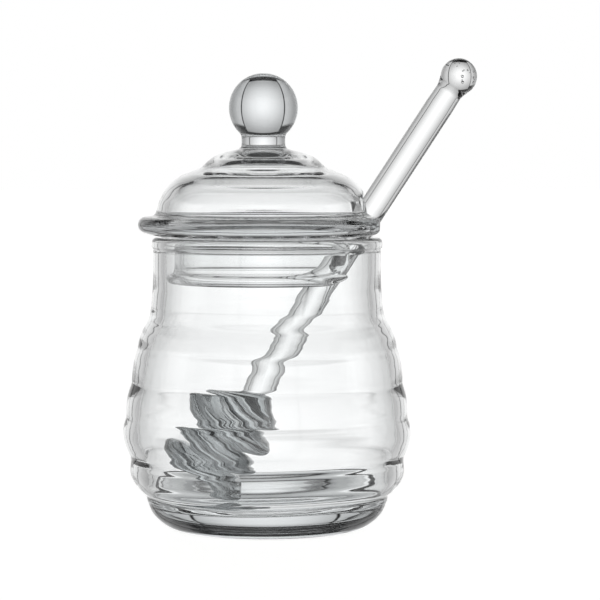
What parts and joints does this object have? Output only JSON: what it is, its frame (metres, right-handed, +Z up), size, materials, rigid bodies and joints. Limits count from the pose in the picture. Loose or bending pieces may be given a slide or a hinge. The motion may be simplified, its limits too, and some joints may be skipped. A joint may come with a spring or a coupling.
{
  "type": "honey jar",
  "caption": "Clear blown-glass honey jar with a ribbed beehive belly, domed lid with ball knob and side notch, and a glass honey dipper leaning in it.",
  "frame": {"origin": "centre of the jar's flat base, on the jar's axis", "axes": "+Z up along the jar's axis; the dipper leans towards +X, out of the lid's notch"},
  "size_m": [0.1097, 0.0896, 0.1457],
  "materials": {
    "jar_glass": "clear, smooth, slightly wavy hand-blown soda glass",
    "lid_glass": "clear, smooth, fire-polished soda glass",
    "dipper_glass": "clear, smooth solid glass with a few small bubbles in its tip"
  },
  "bodies": {
    "root": {"jar": "jar_glass", "lid": "lid_glass", "dipper": "dipper_glass"}
  },
  "joints": []
}
